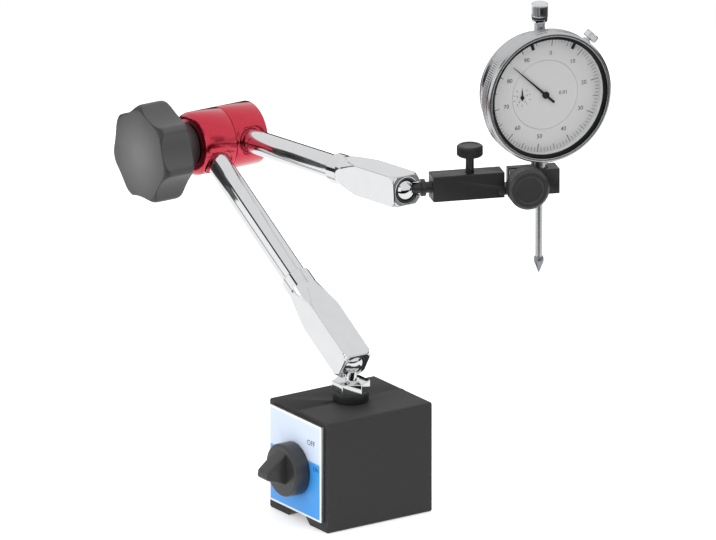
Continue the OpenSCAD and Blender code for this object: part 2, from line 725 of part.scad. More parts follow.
module movement_plate() color("#b08d4a") at_dial() difference() {
    disc_y(case_in - fit, plate_y, plate_y + plate_thick);
    disc_y(arbor_r + run, plate_y - 1, 0);
    translate([-counter_x, 0, 0]) disc_y(arbor_r + run, plate_y - 1, 0);
}
module dial_stem() color("#c4c6c9") at_dial() translate([0, 0, -stem_len]) difference() {
    cylinder(r = stem_r, h = stem_len - case_in + 3);
    translate([0, 0, -1]) cylinder(r = spindle_r + run, h = stem_len);
}
module upper_bush() color("#c4c6c9") at_dial() translate([0, 0, case_in - 1]) difference() {
    cylinder(r = bush_r, h = cap_base - case_in + 1);
    translate([0, 0, -1]) cylinder(r = spindle_r + run, h = cap_base);
}
module dust_cap() color("#c4c6c9") at_dial() translate([0, 0, cap_base]) difference() {
    cylinder(r = cap_r, h = cap_len);
    translate([0, 0, -cap_lid]) cylinder(r = spindle_r + 2 * run, h = cap_len);
    for (k = [0 : cap_ribs - 1]) rotate(k * 360 / cap_ribs) translate([cap_r, 0, rib_start])
        cylinder(r = rib_r, h = cap_len, $fn = 24);
}
module bezel() color("#d4d6d9") at_dial() turn_y([
    [crystal_r + fit, -bezel_back], [bezel_r - bezel_edge, -bezel_back], [bezel_r, -bezel_back - bezel_edge],
    [bezel_r, bezel_slope - bezel_front], [bezel_r - bezel_slope, -bezel_front],
    [crystal_r - bezel_lip_w, -bezel_front], [crystal_r - bezel_lip_w, -crystal_front],
    [crystal_r + fit, -crystal_front]
]);
module crystal() color([0.9, 0.95, 1, 0.3]) at_dial() disc_y(crystal_r, -crystal_front, -crystal_back);
module crystal_seal() color("#1c1c1e") at_dial()
    ring_y(crystal_r, seal_in, -crystal_back, seal_t - crystal_back);
module scale_ring() color("#e4e5e6") at_dial() turn_y([
    [centre_r + 3 * run, -scale_front], [crystal_r - scale_rim_w, -scale_front],
    [crystal_r - scale_rim_w, rim_top], [crystal_r, rim_top],
    [crystal_r, -scale_back], [centre_r + 3 * run, -scale_back]
]);
module centre_disc() color("#e4e5e6") at_dial() difference() {
    disc_y(centre_r, -scale_front, plate_y);
    disc_y(arbor_r + run, -scale_front - 1, 0);
    translate([-counter_x, 0, 0]) disc_y(arbor_r + run, -scale_front - 1, 0);
}
// Hand on an arbor: its outline points along +Z and its arbor runs back into the movement plate
module hand(len, tail, w, y, hub) {
    along_y(y - hand_t) rotate(180) linear_extrude(hand_t)
        polygon([[-w, -tail], [w, -tail], [w, 0], [w / 4, len], [-w / 4, len], [-w, 0]]);
    disc_y(hub, y - hand_t - hand_hub_t, y + hand_hub_t);
    disc_y(arbor_r, y, arbor_end);
}
module pointer() color("#1c1c1e") at_dial() rotate([0, pointer_turn, 0])
    hand(pointer_len, pointer_tail, pointer_half, pointer_y, pointer_hub_r);
module small_hand() color("#1c1c1e") at_dial() translate([-counter_x, 0, 0])
    hand(small_len, small_tail, small_half, small_y, small_hub_r);
module limit_hand(turn) color("#1c1c1e") at_dial() rotate([0, turn, 0]) intersection() {
    union() {
        ring_y(crystal_r - run, limit_in, limit_y, limit_y + limit_t);
        translate([-limit_half / 2, limit_y, limit_in - limit_reach])
            cube([limit_half, limit_t, limit_reach + bezel_lip_w]);
    }
    translate([-limit_half, limit_y - 1, 0]) cube([2 * limit_half, 3, bezel_r]);
}
module limit_hand_left() limit_hand(limit_left);
module limit_hand_right() limit_hand(limit_right);
module bezel_screw() color("#c4c6c9") at_dial() rotate([0, 90 - bezel_screw_turn, 0])
    translate([0, bezel_boss_y, 0]) {
        translate([0, 0, case_in]) cylinder(r = bezel_screw_stem_r, h = bezel_head_z - case_in + eps);
        translate([0, 0, bezel_head_z]) cylinder(r = bezel_screw_r, h = bezel_screw_h);
    }
module spindle() color("#c4c6c9") at_dial() translate([0, 0, -tip_top - 1])
    cylinder(r = spindle_r, h = spindle_top + tip_top + 1);
module contact_point() color("#8d9095") at_dial() translate([0, 0, -tip_drop]) difference() {
    rotate_extrude() polygon([
        [0, 0], [tip_flat, 0], [tip_r, tip_len - 1], [tip_r, tip_len],
        [tip_r - tip_edge, tip_len + tip_collar], [0, tip_len + tip_collar]
    ]);
    translate([0, 0, tip_len - 1]) cylinder(r = spindle_r + fit, h = 4);
}

pole_left();
pole_right();
pole_spacers();
magnet_core();
switch_shaft();
front_plate();
rear_cover();
switch_knob();
stud_collar();
base_stud();
base_ball();
lower_sleeve();
lower_rod();
lower_push_rod();
lower_ball_seat();
hub_near();
thrust_washer();
wedge_bolt();
star_knob();
knob_insert();
hub_far();
upper_rod();
upper_sleeve();
upper_push_rod();
upper_ball_seat();
holder_ball();
holder_stud();
holder_bar();
fine_screw();
clamp_block();
clamp_screw();
clamp_knob();
dial_case();
back_cover();
back_screws();
movement_plate();
dial_stem();
upper_bush();
dust_cap();
bezel();
crystal();
crystal_seal();
scale_ring();
centre_disc();
pointer();
small_hand();
limit_hand_left();
limit_hand_right();
bezel_screw();
spindle();
contact_point();
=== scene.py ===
import json
import math
import bmesh
import bpy
import numpy as np
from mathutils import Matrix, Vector


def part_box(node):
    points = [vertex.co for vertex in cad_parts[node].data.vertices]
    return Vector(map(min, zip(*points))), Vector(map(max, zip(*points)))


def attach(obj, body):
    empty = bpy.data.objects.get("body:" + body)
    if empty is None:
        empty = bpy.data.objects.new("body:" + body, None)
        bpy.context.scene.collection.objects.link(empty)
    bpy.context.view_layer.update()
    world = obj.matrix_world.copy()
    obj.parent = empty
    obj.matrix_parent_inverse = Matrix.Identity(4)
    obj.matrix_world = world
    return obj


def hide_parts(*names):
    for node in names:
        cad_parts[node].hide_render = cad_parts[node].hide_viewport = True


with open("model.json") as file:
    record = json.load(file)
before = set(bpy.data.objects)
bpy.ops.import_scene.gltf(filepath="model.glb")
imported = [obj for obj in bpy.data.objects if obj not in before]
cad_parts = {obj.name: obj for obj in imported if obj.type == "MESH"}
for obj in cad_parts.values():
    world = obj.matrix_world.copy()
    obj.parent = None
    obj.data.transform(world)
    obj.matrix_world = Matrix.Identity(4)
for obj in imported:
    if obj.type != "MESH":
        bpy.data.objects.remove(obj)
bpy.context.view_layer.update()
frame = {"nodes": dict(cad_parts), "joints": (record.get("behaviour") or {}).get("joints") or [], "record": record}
nodes = frame["nodes"]
joints = {joint["name"]: joint for joint in frame["joints"]}
bodyNodes = frame["record"]["behaviour"]["bodies"]
slotNames = {part["node"]: part["material_slot"] for part in frame["record"]["subparts"]}
mm = 0.001
print("frame loaded:", len(nodes), "nodes")


# Places: an origin in metres with three unit directions, taken from the joints

# A vector divided by its length
def unit(vector):
    vector = np.array(vector, float)
    return vector / np.linalg.norm(vector)


# Side is up crossed with along, and the place's own up is along crossed with side
def placeAt(origin, along, up=(0, 0, 1)):
    along = unit(along)
    side = unit(np.cross(up, along))
    return {"origin": np.array(origin, float), "side": side, "up": np.cross(along, side), "along": along}


# Millimetres beside, above and along a place, turned into the frame's metres
def inFrame(place, side, up, along):
    side, up, along = np.broadcast_arrays(np.asarray(side, float), up, along)
    moved = side[..., None] * place["side"] + up[..., None] * place["up"] + along[..., None] * place["along"]
    return place["origin"] + mm * moved


# A joint's pivot in metres and its axis
def jointPlace(name):
    return np.array(joints[name]["pos_m"]), np.array(joints[name]["axis"])


# The body that holds a node
def bodyOf(node):
    return next(name for name, members in bodyNodes.items() if node in members)


hubAt, _ = jointPlace("elbow")
lowerBallAt, _ = jointPlace("base_tilt")
upperBallAt, _ = jointPlace("holder_roll")
clampKnobAt, clampKnobLine = jointPlace("clamp_handle_turn")
dialAt, dialBack = jointPlace("bezel_turn")
_, stemLine = jointPlace("indicator_swivel")
thumbAt, thumbLine = jointPlace("thumbscrew_turn")
bezelScrewAt, bezelScrewLine = jointPlace("bezel_lock_turn")
switchAt, _ = jointPlace("switch_turn")

basePlace = placeAt((0, 0, 0), (0, -1, 0))
switchPlace = placeAt(switchAt, (0, -1, 0))
hubPlace = placeAt((hubAt[0], 0, hubAt[2]), (0, 1, 0))
clampKnobPlace = placeAt(clampKnobAt, clampKnobLine)
thumbPlace = placeAt(thumbAt, -thumbLine, up=(0, 1, 0))
dialPlace = placeAt(dialAt, -dialBack, up=stemLine)
stemPlace = placeAt(dialAt, stemLine, up=-dialBack)
bezelScrewPlace = placeAt(bezelScrewAt, bezelScrewLine, up=-dialBack)


# Materials

# sRGB hex text as linear light: the standard's straight foot, and its power of 2.4 above it
def linearColour(hexText):
    values = [int(hexText[i:i + 2], 16) / 255 for i in (1, 3, 5)]
    return [v / 12.92 if v <= 0.04045 else ((v + 0.055) / 1.055) ** 2.4 for v in values] + [1.0]


# A pattern's scale, from the size of one of its cells in millimetres
def perMetre(cellMm):
    return 1 / (cellMm * mm)


# Adds a node, sets its fields, and sets or links its inputs
def addNode(tree, kind, fields=None, inputs=None):
    node = tree.nodes.new(kind)
    for key, value in (fields or {}).items():
        setattr(node, key, value)
    for key, value in (inputs or {}).items():
        if isinstance(value, bpy.types.NodeSocket):
            tree.links.new(value, node.inputs[key])
        else:
            node.inputs[key].default_value = value
    return node


# One step of arithmetic on numbers
def compute(tree, operation, first, second=0.0):
    return addNode(tree, "ShaderNodeMath", {"operation": operation}, {0: first, 1: second}).outputs["Value"]


# A number from two vectors: their distance or their dot product
def measure(tree, operation, first, second):
    return addNode(tree, "ShaderNodeVectorMath", {"operation": operation}, {0: first, 1: second}).outputs["Value"]


# Where a value stands between start and end, from 0 to top, held at both ends
def ramp(tree, value, start, end, top=1.0):
    return addNode(tree, "ShaderNodeMapRange", None,
                   {"Value": value, "From Min": start, "From Max": end, "To Max": top}).outputs["Result"]


# The first colour at factor 0 and the second at 1; each is hex text or a node's output
def mixed(tree, factor, first, second):
    first, second = (linearColour(colour) if isinstance(colour, str) else colour for colour in (first, second))
    return addNode(tree, "ShaderNodeMix", {"data_type": "RGBA"},
                   {"Factor": factor, "A": first, "B": second}).outputs["Result"]


# A material with one principled surface, whose inputs are given by name, and the object's coordinates
def newFinish(name, **shadedSockets):
    material = bpy.data.materials.new(name)
    material.use_nodes = True
    tree = material.node_tree
    tree.nodes.clear()
    surface = addNode(tree, "ShaderNodeBsdfPrincipled", None, shadedSockets)
    addNode(tree, "ShaderNodeOutputMaterial", None, {"Surface": surface.outputs["BSDF"]})
    coords = addNode(tree, "ShaderNodeTexCoord")
    return material, tree, surface, coords.outputs["Object"]


noiseLook = {"roughness": 0.6, "strength": 0.4}  # weight of the noise's finer steps, and of its relief


# Spreads a noise over two colours, a range of roughness and a little relief
def grain(tree, surface, coords, cellMm, dark, light, rough, reliefMm, detail=3.0):
    noise = addNode(tree, "ShaderNodeTexNoise", None,
                    {"Vector": coords, "Scale": perMetre(cellMm), "Detail": detail,
                     "Roughness": noiseLook["roughness"]}).outputs["Fac"]
    tree.links.new(mixed(tree, noise, dark, light), surface.inputs["Base Color"])
    gloss = addNode(tree, "ShaderNodeMapRange", None,
                    {"Value": noise, "To Min": rough[0], "To Max": rough[1]})
    tree.links.new(gloss.outputs["Result"], surface.inputs["Roughness"])
    relief = addNode(tree, "ShaderNodeBump", None,
                     {"Height": noise, "Distance": reliefMm * mm, "Strength": noiseLook["strength"]})
    tree.links.new(relief.outputs["Normal"], surface.inputs["Normal"])


# A finish that is one grain on a surface whose other inputs are given by name
def grained(name, cellMm, dark, light, rough, reliefMm, detail=3.0, **shadedSockets):
    material, tree, surface, coords = newFinish(name, **shadedSockets)
    grain(tree, surface, coords, cellMm, dark, light, rough, reliefMm, detail)
    return material


# Baked black enamel on ground steel: dead matt, with the grit of the casting in it
def blackEnamel():
    return grained("blackEnamel", cellMm=0.9, dark="#242424", light="#383838", rough=(0.5, 0.75), reliefMm=0.08,
                   detail=6.0, **{"Specular IOR Level": 0.35})


# Black ABS with a spark-eroded mould texture: soft grey lights, no sharp ones
def mouldedAbs():
    return grained("mouldedAbs", cellMm=0.7, dark="#2a2a2b", light="#343435", rough=(0.28, 0.36), reliefMm=0.03)


knobSheen = {  # painted highlight on the star knob's face and flanks
    "palest": 4.0, "dullest": 21.0,  # mm from the middle of its face
    "face": (0.93, 0.995), "flank": (0.4, 0.15),  # the normal's share along the axis, where the painted highlight starts and is full
}


# The same ABS on the star knob, with painted light: a painted highlight pales its face and flanks, palest in the
# middle, and fades with the distance from the face's middle. Its rounded edges keep a darker ABS than the plain
# knobs, as painted shade for the dark they reflect
def rubbedAbs():
    material, tree, surface, coords = newFinish("rubbedAbs")
    # Painted shade: a darker ABS than the plain knobs, left showing on the rounded edges
    grain(tree, surface, coords, cellMm=0.7, dark="#262627", light="#303031", rough=(0.34, 0.44), reliefMm=0.03)
    tint = surface.inputs["Base Color"].links[0].from_socket
    away = measure(tree, "DISTANCE", coords, (hubAt[0], star["front"] * mm, hubAt[2]))
    # Painted highlight: paler near the face's middle, fading outward
    sheenColour = mixed(tree, ramp(tree, away, knobSheen["palest"] * mm, knobSheen["dullest"] * mm), "#6a6a6b", "#464647")
    facing = addNode(tree, "ShaderNodeTexCoord")
    split = addNode(tree, "ShaderNodeSeparateXYZ", None, {"Vector": facing.outputs["Normal"]})
    level = compute(tree, "ABSOLUTE", split.outputs["Y"])
    # Painted highlight only on faces turned along the axis or sideways: the face and the flanks
    sheenShare = compute(tree, "MAXIMUM", ramp(tree, level, *knobSheen["face"]), ramp(tree, level, *knobSheen["flank"]))
    tree.links.new(mixed(tree, sheenShare, tint, sheenColour), surface.inputs["Base Color"])
    return material


# Black oxide on milled steel: a thin dark skin that still glints on its edges
def blackOxide():
    return grained("blackOxide", cellMm=1.2, dark="#1c1c1d", light="#272728", rough=(0.3, 0.42), reliefMm=0.02)


# Chrome plate on turned steel: mirror bright, with the faint haze of polishing
def chromePlate():
    return grained("chromePlate", cellMm=6.0, dark="#e0e1e3", light="#e9eaeb", rough=(0.05, 0.1), reliefMm=0.004,
                   Metallic=1.0)


# Satin chrome on the indicator's case and stem: the same plate over a fine blast
def satinChrome():
    return grained("satinChrome", cellMm=0.6, dark="#bfc1c4", light="#cfd0d2", rough=(0.2, 0.3), reliefMm=0.01,
                   Metallic=1.0)


# Red anodised aluminium: a clear dyed skin over turned metal
def redAnodised():
    return grained("redAnodised", cellMm=2.0, dark="#c81a36", light="#de2a48", rough=(0.18, 0.26), reliefMm=0.006,
                   Metallic=1.0, **{"Coat Weight": 1.0, "Coat Roughness": 0.12})


# Turned steel, bare and oiled
def turnedSteel():
    return grained("turnedSteel", cellMm=0.8, dark="#8a8c90", light="#a3a5a8", rough=(0.25, 0.38), reliefMm=0.01,
                   Metallic=1.0)


# Turned brass
def turnedBrass():
    return grained("turnedBrass", cellMm=0.8, dark="#a8823f", light="#bd9850", rough=(0.25, 0.38), reliefMm=0.01,
                   Metallic=1.0)


# Sintered magnet: dark and dull
def magnetIron():
    return grained("magnetIron", cellMm=0.8, dark="#3a3a3d", light="#4a4a4d", rough=(0.5, 0.65), reliefMm=0.01,
                   Metallic=1.0)


# Clear mineral glass, thin: mostly seen through
def dialGlass():
    material, _, surface, _ = newFinish("dialGlass", Roughness=0.03, IOR=1.5, Alpha=0.05)
    surface.inputs["Base Color"].default_value = linearColour("#15181a")
    return material


# Black rubber seal
def sealRubber():
    return grained("sealRubber", cellMm=0.5, dark="#121213", light="#1a1a1b", rough=(0.45, 0.6), reliefMm=0.02)


# Matt dial enamel, silk-screened: pale grey with a fine tooth
def dialEnamel():
    return grained("dialEnamel", cellMm=0.5, dark="#d6d6d6", light="#dedede", rough=(0.5, 0.6), reliefMm=0.005)


# Black lacquer on the hands
def handLacquer():
    return grained("handLacquer", cellMm=0.5, dark="#161617", light="#1e1e1f", rough=(0.3, 0.4), reliefMm=0.003)


plateInk = {  # mm, and the print's roughness
    "paleFoot": 34.2, "blueTop": 33.2,  # heights between which the print changes colour
    "border": 1.1, "skin": 0.25, "rough": 0.35,
}


# Printed aluminium plate: a pale border and top, blue below, bare metal on the edges. A point is on the border
# where it lies farther from the plate's middle than half the plate's size less the border
def printedPlate():
    material, tree, surface, coords = newFinish("printedPlate", Roughness=plateInk["rough"])
    low, high = (np.array(corner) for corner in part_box("front_plate"))
    half = (high - low) / 2 - plateInk["border"] * mm
    split = addNode(tree, "ShaderNodeSeparateXYZ", None, {"Vector": coords})
    below = ramp(tree, split.outputs["Z"], plateInk["paleFoot"] * mm, plateInk["blueTop"] * mm)
    away = addNode(tree, "ShaderNodeVectorMath", {"operation": "SUBTRACT"},
                   {0: coords, 1: tuple((low + high) / 2)})
    far = addNode(tree, "ShaderNodeVectorMath", {"operation": "ABSOLUTE"}, {0: away.outputs["Vector"]})
    past = addNode(tree, "ShaderNodeSeparateXYZ", None, {"Vector": far.outputs["Vector"]})
    border = compute(tree, "MAXIMUM", compute(tree, "GREATER_THAN", past.outputs["X"], half[0]),
                     compute(tree, "GREATER_THAN", past.outputs["Z"], half[2]))
    framed = mixed(tree, border, mixed(tree, below, "#d3e0f4", "#3f9bea"), "#eef2f8")
    bare = compute(tree, "GREATER_THAN", split.outputs["Y"], low[1] + plateInk["skin"] * mm)
    tree.links.new(mixed(tree, bare, framed, "#b9bcc0"), surface.inputs["Base Color"])
    tree.links.new(bare, surface.inputs["Metallic"])
    return material


finishes = {
    "black_paint": blackEnamel(),
    "brass": turnedBrass(),
    "magnet": magnetIron(),
    "steel": turnedSteel(),
    "plate_blue": printedPlate(),
    "black_plastic": mouldedAbs(),
    "chrome": chromePlate(),
    "red_anodised": redAnodised(),
    "black_oxide": blackOxide(),
    "satin_chrome": satinChrome(),
    "crystal": dialGlass(),
    "seal": sealRubber(),
    "dial_white": dialEnamel(),
    "hand_black": handLacquer(),
}
for node, slotName in slotNames.items():
    mesh = nodes[node].data
    mesh.materials.clear()
    mesh.materials.append(finishes[slotName])
print("finishes made:", len(finishes))


# Surfaces

# Corners (a, b, radius) of an outline, each replaced by the arc that touches both of its sides
def rounded(corners, steps=6, closed=True):
    points = []
    count = len(corners)
    part = np.linspace(0, 1, steps + 1)[:, None]
    for i, (a, b, radius) in enumerate(corners):
        here = np.array([a, b], float)
        if radius == 0 or (not closed and i in (0, count - 1)):
            points.append(here)
            continue
        before = unit(np.array(corners[i - 1][:2]) - here)
        after = unit(np.array(corners[(i + 1) % count][:2]) - here)
        half = math.acos(np.clip(before @ after, -1, 1)) / 2
        centre = here + unit(before + after) * radius / math.sin(half)
        start = here + before * radius / math.tan(half) - centre
        end = here + after * radius / math.tan(half) - centre
        sweep = math.pi - 2 * half
        arc = (start * np.sin((1 - part) * sweep) + end * np.sin(part * sweep)) / math.sin(sweep)
        points.extend(centre + arc)
    return np.array(points)


# Quads between neighbours in a grid of points that is counted row by row
def gridFaces(rows, columns, wrapRows, wrapColumns):
    row, column = np.meshgrid(np.arange(rows if wrapRows else rows - 1),
                              np.arange(columns if wrapColumns else columns - 1), indexing="ij")
    below, beside = (row + 1) % rows, (column + 1) % columns
    quads = [row * columns + column, row * columns + beside, below * columns + beside, below * columns + column]
    return np.stack(quads, axis=-1).reshape(-1, 4).tolist()


welding = {"same": 1e-7, "sliver": 1e-8}  # metres: corners that are one, and edges without length


# Welds a mesh, turns its faces outward and splits its shading at edges sharper than an angle in degrees
def closeMesh(mesh, sharp):
    work = bmesh.new()
    work.from_mesh(mesh)
    bmesh.ops.remove_doubles(work, verts=work.verts, dist=welding["same"])
    bmesh.ops.dissolve_degenerate(work, dist=welding["sliver"], edges=work.edges)
    bmesh.ops.recalc_face_normals(work, faces=work.faces)
    work.to_mesh(mesh)
    work.free()
    mesh.polygons.foreach_set("use_smooth", [True] * len(mesh.polygons))
    mesh.set_sharp_from_angle(angle=math.radians(sharp))


# Points and faces as a closed mesh that rides a body; covers names the nodes that it stands for
def addPiece(name, points, faces, look, body, covers=(), sharp=40, finish=None):
    mesh = bpy.data.meshes.new(name)
    mesh.from_pydata(np.reshape(points, (-1, 3)).tolist(), [], faces)
    closeMesh(mesh, sharp)
    mesh.materials.append(finish or finishes[look])
    piece = bpy.data.objects.new(name, mesh)
    bpy.context.scene.collection.objects.link(piece)
    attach(piece, body)
    if covers:
        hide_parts(*covers)
    return piece


# A profile of (radius, along) points swept round the place's along line; ripple adds to the radius
def turned(name, place, profile, look, body, covers=(), segments=128, closed=False, ripple=None):
    turn = np.linspace(0, 2 * np.pi, segments, endpoint=False)[:, None]
    radius, along = profile[:, 0][None, :], profile[:, 1][None, :]
    if ripple:
        radius = radius + ripple(turn, radius, along)
    points = inFrame(place, radius * np.cos(turn), radius * np.sin(turn), along)
    return addPiece(name, points, gridFaces(segments, len(profile), True, closed), look, body, covers)


rib = {"runOut": 0.25, "reach": 1.0, "fade": 0.5}  # mm: a rib's end, how far in from the rim it acts, and its fade


# Ribs round a turned piece: a cosine wave cut into its rim between two stations
def ribs(count, depth, low, high, rim):
    def ripple(turn, radius, along):
        inside = np.clip((along - low) / rib["runOut"], 0, 1) * np.clip((high - along) / rib["runOut"], 0, 1)
        outer = np.clip((radius - rim + rib["reach"]) / rib["fade"], 0, 1)
        return -depth * (0.5 - 0.5 * np.cos(count * turn)) * inside * outer
    return ripple


# A straight run of stations on a profile, so that ribs have points to move
def run(radius, start, end, steps):
    return [(radius, along, 0) for along in np.linspace(start, end, steps)]


ink = {"thick": 0.04, "look": "hand_black", "sharp": 20, "curveSteps": 3}  # mm, degrees, steps on a letter's curve


# Many flat marks as one closed mesh: each outline of (side, up) points, drawn along by the ink's thickness
def printed(name, place, outlines, along, body):
    points, faces = [], []
    for outline in outlines:
        count, first = len(outline), sum(len(block) for block in points)
        outline = np.array(outline)
        points.append(inFrame(place, outline[:, 0], outline[:, 1], along))
        points.append(inFrame(place, outline[:, 0], outline[:, 1], along + ink["thick"]))
        low, high = range(first, first + count), range(first + count, first + 2 * count)
        faces.append(list(low))
        faces.append(list(high)[::-1])
        faces.extend([low[i], low[(i + 1) % count], high[(i + 1) % count], high[i]] for i in range(count))
    return addPiece(name, np.concatenate(points), faces, ink["look"], body, sharp=ink["sharp"])


# A bar between two radii at an angle from the top, clockwise, about a centre
def tick(degrees, inner, outer, width, centre=(0, 0)):
    turn = math.radians(degrees)
    out = np.array([math.sin(turn), math.cos(turn)])
    across = np.array([out[1], -out[0]]) * width / 2
    near, far = np.array(centre) + out * inner, np.array(centre) + out * outer
    return [near - across, near + across, far + across, far - across]


# Numbers in the plain built-in face, made into meshes first and then set at their places
def numbers(name, place, words, size, along, body):
    points, faces = [], []
    for word, side, up in words:
        curve = bpy.data.curves.new(name, "FONT")
        curve.body = word
        curve.size = size
        curve.align_x, curve.align_y = "CENTER", "CENTER"
        curve.extrude = ink["thick"] / 2
        curve.resolution_u = ink["curveSteps"]
        writing = bpy.data.objects.new(name, curve)
        bpy.context.scene.collection.objects.link(writing)
        bpy.context.view_layer.update()
        shape = bpy.data.meshes.new_from_object(writing.evaluated_get(bpy.context.evaluated_depsgraph_get()))
        first = sum(len(block) for block in points)
        flat = np.array([corner.co[:] for corner in shape.vertices])
        points.append(inFrame(place, flat[:, 0] + side, flat[:, 1] + up, flat[:, 2] + along + ink["thick"] / 2))
        faces.extend([first + k for k in face.vertices] for face in shape.polygons)
        bpy.data.objects.remove(writing)
        bpy.data.curves.remove(curve)
        bpy.data.meshes.remove(shape)
    return addPiece(name, np.concatenate(points), faces, ink["look"], body, sharp=ink["sharp"])


# Base, stud, arms, hub, holder and the dial's case: the solids with their edges broken

easing = {  # mm of rounding on each node
    "pole_left": 0.5, "pole_right": 0.5, "rear_cover": 0.4, "front_plate": 0.3,
    "stud_collar": 0.4, "base_stud": 0.35, "lower_sleeve": 0.5, "upper_sleeve": 0.5,
    "hub_near": 3.0, "hub_far": 3.0, "holder_bar": 0.4, "clamp_block": 0.4, "holder_stud": 0.15,
    "dial_case": 0.2, "back_cover": 0.3, "back_screws": 0.15, "contact_point": 0.12,
}
solidEdges = {
    "same": 2e-7,  # metres between corners that are one
    "flat": 0.5,  # degrees between triangles that make one flat
    "sharp": 28,  # degrees from which an edge is rounded
    "segments": 3,
}
# Painted shade: faces of a sleeve's socket that look in on its ball take the black oxide finish, for the shadow in
# the gap round the ball
socketShade = {
    "crease": 9.5,  # degrees: less than from a sleeve's flats to its turned end, more than between its facets
    "reach": 8.2,  # mm from a ball's centre to the farthest face of its socket
    "facing": -0.2,  # least cosine between a face's normal and the way to that centre
}
seamHalf = 1.05  # mm from the middle to the brass strip's edge
hub = {"radius": 15.5, "near": -9.0, "band": 0.5, "slack": 0.1, "small": 0.15}  # mm, and the lesser edges' share


# A solid's own mesh, its triangles merged into flats and its sharp edges rounded; share says how much of the
# rounding an edge gets, from its middle in millimetres, and the faces that look in on a socket's centre take the
# black oxide finish as painted shade for the shadow in the gap round the ball
def eased(node, width, share=None, socket=None):
    body = bodyOf(node)
    slotName = slotNames[node]
    mesh = nodes[node].data.copy()
    mesh.name = node + "Eased"
    work = bmesh.new()
    work.from_mesh(mesh)
    bmesh.ops.remove_doubles(work, verts=work.verts, dist=solidEdges["same"])
    bmesh.ops.dissolve_limit(work, angle_limit=math.radians(solidEdges["flat"]), verts=work.verts, edges=work.edges)
    weight = work.edges.layers.float.new("bevel_weight_edge")
    for edge in work.edges:
        if len(edge.link_faces) == 2 and edge.calc_face_angle(0) > math.radians(solidEdges["sharp"]):
            middle = (edge.verts[0].co + edge.verts[1].co) / 2 / mm
            edge[weight] = share(*middle) if share else 1.0
    work.to_mesh(mesh)
    work.free()
    mesh.polygons.foreach_set("use_smooth", [True] * len(mesh.polygons))
    mesh.materials.clear()
    mesh.materials.append(finishes[slotName])
    # Painted shade inside the socket: the black oxide finish on the faces round the ball
    if socket is not None:
        mesh.set_sharp_from_angle(angle=math.radians(socketShade["crease"]))
        mesh.materials.append(finishes["black_oxide"])
        for face in mesh.polygons:
            inward = Vector(socket) - face.center
            inShade = face.normal.dot(inward.normalized()) > socketShade["facing"]
            if inShade and inward.length < socketShade["reach"] * mm:
                face.material_index = 1
    piece = bpy.data.objects.new(mesh.name, mesh)
    bpy.context.scene.collection.objects.link(piece)
    ease = piece.modifiers.new("ease", "BEVEL")
    ease.width = width * mm
    ease.segments = solidEdges["segments"]
    ease.limit_method = "WEIGHT"
    ease.harden_normals = True
    ease.use_clamp_overlap = False
    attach(piece, body)
    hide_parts(node)
    return piece


# No rounding on the poles' edges at the seam, where the strip lies flush between them
def offSeam(x, y, z):
    return 0.0 if abs(x) < seamHalf else 1.0


# Full rounding on the rim of the hub's near end alone
def hubRim(x, y, z):
    away = math.hypot(x - hubAt[0] / mm, z - hubAt[2] / mm)
    return 1.0 if y < hub["near"] + hub["slack"] and away > hub["radius"] - hub["band"] else hub["small"]


shares = {"pole_left": offSeam, "pole_right": offSeam, "hub_near": hubRim, "hub_far": hubRim}
# Ball centres round which the socket faces get painted shade
shadedSockets = {"lower_sleeve": lowerBallAt, "upper_sleeve": upperBallAt}
for node, width in easing.items():
    eased(node, width, shares.get(node), shadedSockets.get(node))
# The strips' outer faces are painted over with the poles
nodes["pole_spacers"].data.materials[0] = finishes["black_paint"]
print("edges eased:", len(easing))


# Switch: a round disc and a wedge grip that runs out over it, in mm from the switch's axis
switch = {
    "plate": 32.2, "gap": 0.3, "radius": 13.0, "thick": 8.0, "rear": 0.3, "rim": 1.2,
    "half": 4.5, "top": 12.4, "drop": -6.0, "foot": 1.0, "shoulder": 5.0, "heel": 0.3, "soft": 1.0, "ends": 0.9,
    "tip": (16.0, 0.0, 2.6),  # reach, level and size
    "nose": [(1.2, -0.8, 0.6), (1.0, 0.6, 0.7)],  # shares of the tip's size: ahead, up and rounding
}
plateMarks = [  # piece, word, mm to the side and up, size
    ("switchMarks", "OFF", 13.6, 42.8, 3.8),
    ("switchMarksOn", "ON", 17.6, 30.6, 3.0),
]


# An outline of (along, up) points drawn across the place from -half to half, drawn in round both ends:
# each end ring is moved in along the outline's corner normals by a quarter circle
def barred(name, place, outline, half, edge, look, body, covers, steps=7, sharp=30):
    outline = np.array(outline)
    before, after = np.roll(outline, 1, axis=0), np.roll(outline, -1, axis=0)
    sides = [(b - a) / np.linalg.norm(b - a, axis=1)[:, None] for a, b in ((before, outline), (outline, after))]
    normals = [np.stack([side[:, 1], -side[:, 0]], axis=1) for side in sides]
    mitre = (normals[0] + normals[1]) / (1 + np.sum(normals[0] * normals[1], axis=1))[:, None]
    bend = np.radians(np.linspace(0, 90, steps))
    stations = [(-half + edge * (1 - math.sin(b)), edge * (1 - math.cos(b))) for b in bend[::-1]]
    stations += [(-across, drawn) for across, drawn in stations[::-1]]
    points = [inFrame(place, across, outline[:, 1] - drawn * mitre[:, 1], outline[:, 0] - drawn * mitre[:, 0])
              for across, drawn in stations]
    count = len(outline)
    faces = gridFaces(len(stations), count, False, True)
    faces += [list(range(count)), list(range((len(stations) - 1) * count, len(stations) * count))]
    return addPiece(name, np.concatenate(points), faces, look, body, covers, sharp)


